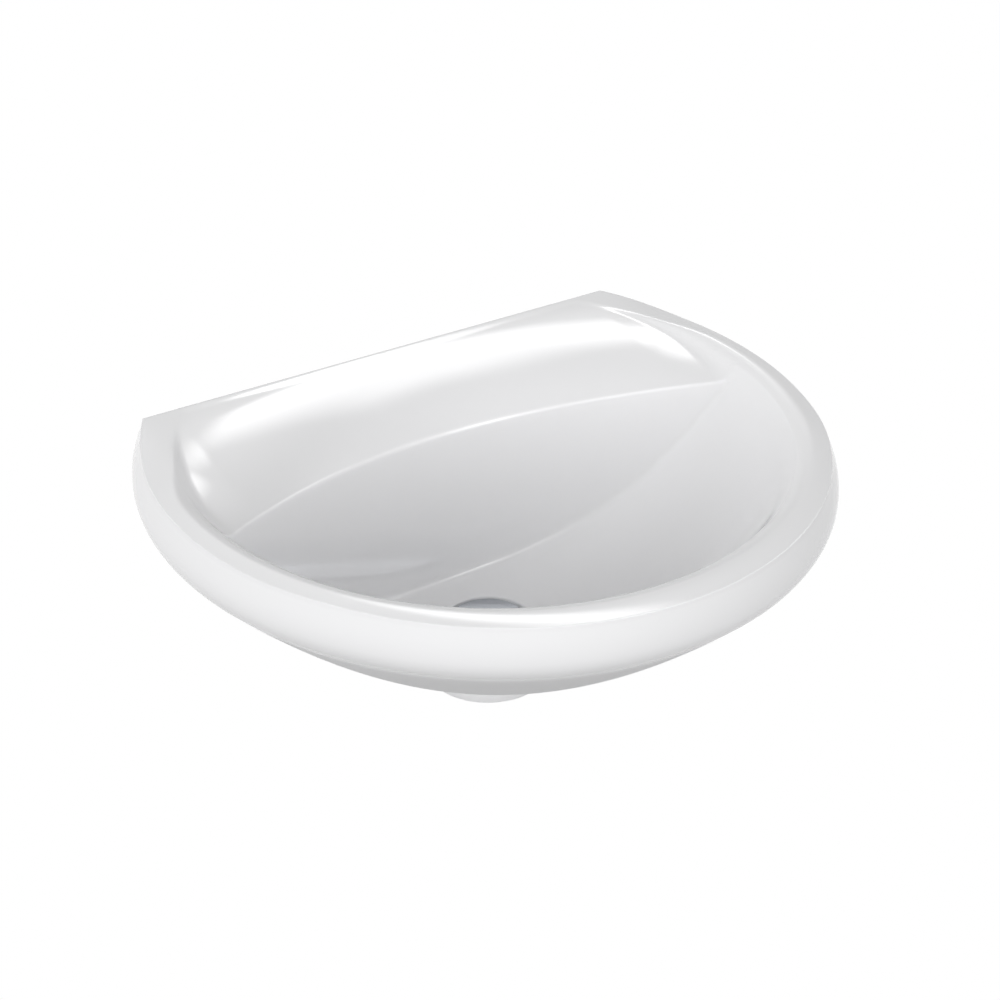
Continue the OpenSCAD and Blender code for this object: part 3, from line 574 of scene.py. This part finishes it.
carried = {
    "waste_top_gasket": rubber, "waste_lower_gasket": rubber, "plug_seal": rubber,
    "waste_slip_washer": nylon, "fixing_sleeves": nylon, "waste_back_nut": brass, "plug_stem": brass,
    "latch_barrel": acetal, "latch_end_cap": acetal, "ratchet_ring": orangeAcetal, "latch_spring": wire,
    "stem_lock_nut": zinc, "hanger_bolts": zinc, "fixing_washers": zinc, "fixing_nuts": zinc,
    "wall_plugs": greyNylon, "nut_caps": polythene, "waste_body": chrome, "plug_cover": chrome,
}
for name, mat in carried.items():
    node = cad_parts[name]
    node.data.materials.clear()
    node.data.materials.append(mat)
    node.data.shade_smooth()
    node.data.set_sharp_from_angle(angle=math.radians(plainFinish["sharpAngle"]))
print("carried-over pieces finished:", len(carried))


# floor, light and camera

light = {
    "floorZ": -0.80, "floorHalf": 6.0, "floorColour": "#808080",
    "room": 0.03, "overhead": 0.15,
    # broad soft lights round the room: azimuth (0 in front, + to the right), elevation, strength
    "broadPower": 10,
    "broad": [(-100, 12, 0.60), (-66, 14, 3.00), (-8, 14, 1.10), (30, 13, 2.35), (150, 12, 1.80),
              (-150, 12, 1.50), (-60, 45, 1.00), (-20, 45, 0.30)],
    # smaller lamps that show in the glaze only
    "smallPower": 36,
    "small": [(-20, 30, 3.5), (15, 30, 7.0), (50, 30, 2.0), (85, 30, 3.5), (140, 47, 1.0), (160, 42, 1.3)],
    # the overhead softbox: place and half size in a ceiling 1 m up, its turn, edges and strength
    "boxPlace": (0.538, 0.616), "boxHalf": (0.10, 0.483), "boxEdge": (0.08, 0.14), "boxTurn": -0.138,
    "boxStrength": 4.8, "boxLowest": 0.05,
}


def whiteStage():
    # the floor shows as the white background, also in gloss, and still takes the object's shadow
    mat, tree = newMaterial("paleFloor")
    path = addNode(tree, "ShaderNodeLightPath").outputs
    seen = path["Is Camera Ray"]
    for kind in ("Is Glossy Ray", "Is Transmission Ray"):
        seen = addNode(tree, "ShaderNodeMath", {"operation": "MAXIMUM"}, None,
                       {0: seen, 1: path[kind]}).outputs[0]
    shine = addNode(tree, "ShaderNodeEmission", None, {"Color": (1, 1, 1, 1), "Strength": 1.0})
    matt = addNode(tree, "ShaderNodeBsdfDiffuse", None, {"Color": srgb(light["floorColour"])})
    mixed = addNode(tree, "ShaderNodeMixShader", None, None,
                    {0: seen, 1: matt.outputs["BSDF"], 2: shine.outputs["Emission"]})
    addNode(tree, "ShaderNodeOutputMaterial", None, None, {"Surface": mixed.outputs["Shader"]})
    bm = bmesh.new()
    bmesh.ops.create_grid(bm, x_segments=4, y_segments=4, size=light["floorHalf"])
    mesh = bpy.data.meshes.new("floor")
    bm.to_mesh(mesh)
    bm.free()
    floor = bpy.data.objects.new("floor", mesh)
    floor.location = (0, 0, light["floorZ"])
    mesh.materials.append(mat)
    scene.collection.objects.link(floor)


def addLamps(tree, sky, total, lamps, power):
    # round lights in the sky that fade evenly from their middles, added to what is there
    for azimuth, elevation, strength in lamps:
        a, e = math.radians(azimuth), math.radians(elevation)
        aim = (math.sin(a) * math.cos(e), -math.cos(a) * math.cos(e), math.sin(e))
        facing = addNode(tree, "ShaderNodeVectorMath", {"operation": "DOT_PRODUCT"}, {1: aim}, {0: sky})
        facing = addNode(tree, "ShaderNodeMath", {"operation": "MAXIMUM"}, {1: 0.0},
                         {0: facing.outputs["Value"]})
        fade = addNode(tree, "ShaderNodeMath", {"operation": "POWER"}, {1: power}, {0: facing.outputs[0]})
        total = addNode(tree, "ShaderNodeMath", {"operation": "MULTIPLY_ADD"}, {1: strength},
                        {0: fade.outputs[0], 2: total}).outputs[0]
    return total


def addSoftbox(tree, sky, up, total):
    # the long overhead softbox, drawn in a level ceiling, with soft edges
    height = addNode(tree, "ShaderNodeMath", {"operation": "MAXIMUM"}, {1: light["boxLowest"]},
                     {0: up}).outputs[0]
    c, s = math.cos(light["boxTurn"]), math.sin(light["boxTurn"])
    inBox = []
    for k, run in enumerate(((c, s, 0), (-s, c, 0))):
        middle = light["boxPlace"][0] * run[0] + light["boxPlace"][1] * run[1]
        half, edge = light["boxHalf"][k], light["boxEdge"][k]
        place = addNode(tree, "ShaderNodeVectorMath", {"operation": "DOT_PRODUCT"}, {1: run}, {0: sky})
        place = addNode(tree, "ShaderNodeMath", {"operation": "DIVIDE"}, None,
                        {0: place.outputs["Value"], 1: height})
        place = addNode(tree, "ShaderNodeMath", {"operation": "SUBTRACT"}, {1: middle}, {0: place.outputs[0]})
        place = addNode(tree, "ShaderNodeMath", {"operation": "ABSOLUTE"}, None, {0: place.outputs[0]})
        inBox.append(addNode(tree, "ShaderNodeMapRange", {"interpolation_type": "SMOOTHSTEP"},
                             {"From Min": half - edge, "From Max": half + edge, "To Min": 1.0, "To Max": 0.0},
                             {"Value": place.outputs[0]}).outputs["Result"])
    box = addNode(tree, "ShaderNodeMath", {"operation": "MULTIPLY"}, None, {0: inBox[0], 1: inBox[1]})
    return addNode(tree, "ShaderNodeMath", {"operation": "MULTIPLY_ADD"}, {1: light["boxStrength"]},
                   {0: box.outputs[0], 2: total}).outputs[0]


def whiteWorld():
    # a white studio: what lights the object, what its gloss shows and what the camera sees
    world = bpy.data.worlds.new("studio")
    world.use_nodes = True
    tree = world.node_tree
    tree.nodes.clear()
    sky = addNode(tree, "ShaderNodeTexCoord").outputs["Generated"]
    up = addNode(tree, "ShaderNodeSeparateXYZ", None, None, {"Vector": sky}).outputs["Z"]
    above = addNode(tree, "ShaderNodeMath", {"operation": "MAXIMUM"}, {1: 0.0}, {0: up})
    lit = addNode(tree, "ShaderNodeMath", {"operation": "MULTIPLY_ADD"},
                  {1: light["overhead"], 2: light["room"]}, {0: above.outputs[0]}).outputs[0]
    lit = addLamps(tree, sky, lit, light["broad"], light["broadPower"])
    white = addNode(tree, "ShaderNodeValue")
    white.outputs[0].default_value = 1.0
    gloss = addSoftbox(tree, sky, up, white.outputs[0])
    gloss = addLamps(tree, sky, gloss, light["small"], light["smallPower"])
    path = addNode(tree, "ShaderNodeLightPath").outputs
    shiny = addNode(tree, "ShaderNodeMath", {"operation": "MAXIMUM"}, None,
                    {0: path["Is Glossy Ray"], 1: path["Is Transmission Ray"]}).outputs[0]
    level = addNode(tree, "ShaderNodeMix", {"data_type": "FLOAT"}, None,
                    {0: shiny, 2: lit, 3: gloss}).outputs[0]
    level = addNode(tree, "ShaderNodeMix", {"data_type": "FLOAT"}, {3: 1.0},
                    {0: path["Is Camera Ray"], 2: level}).outputs[0]
    glow = addNode(tree, "ShaderNodeBackground", None, {"Color": (1, 1, 1, 1)}, {"Strength": level})
    addNode(tree, "ShaderNodeOutputWorld", None, None, {"Surface": glow.outputs["Background"]})
    scene.world = world


whiteStage()
whiteWorld()

# the view: place in metres, tilt down and turn to the right in degrees, lens and sensor in mm
view = {"place": (-0.60489, -1.09533, 0.69744), "down": 31.0, "turn": 32.64, "lens": 72.0, "sensor": 36.0,
        "near": 0.05, "far": 30}
camera = bpy.data.cameras.new("camera")
camera.sensor_width = view["sensor"]
camera.lens = view["lens"]
camera.clip_start, camera.clip_end = view["near"], view["far"]
cameraObj = bpy.data.objects.new("camera", camera)
cameraObj.location = view["place"]
cameraObj.rotation_euler = Euler((math.radians(90 - view["down"]), 0, -math.radians(view["turn"])), "XYZ")
scene.collection.objects.link(cameraObj)
scene.camera = cameraObj
scene.view_settings.view_transform = "Standard"
print("stage, light and camera set")
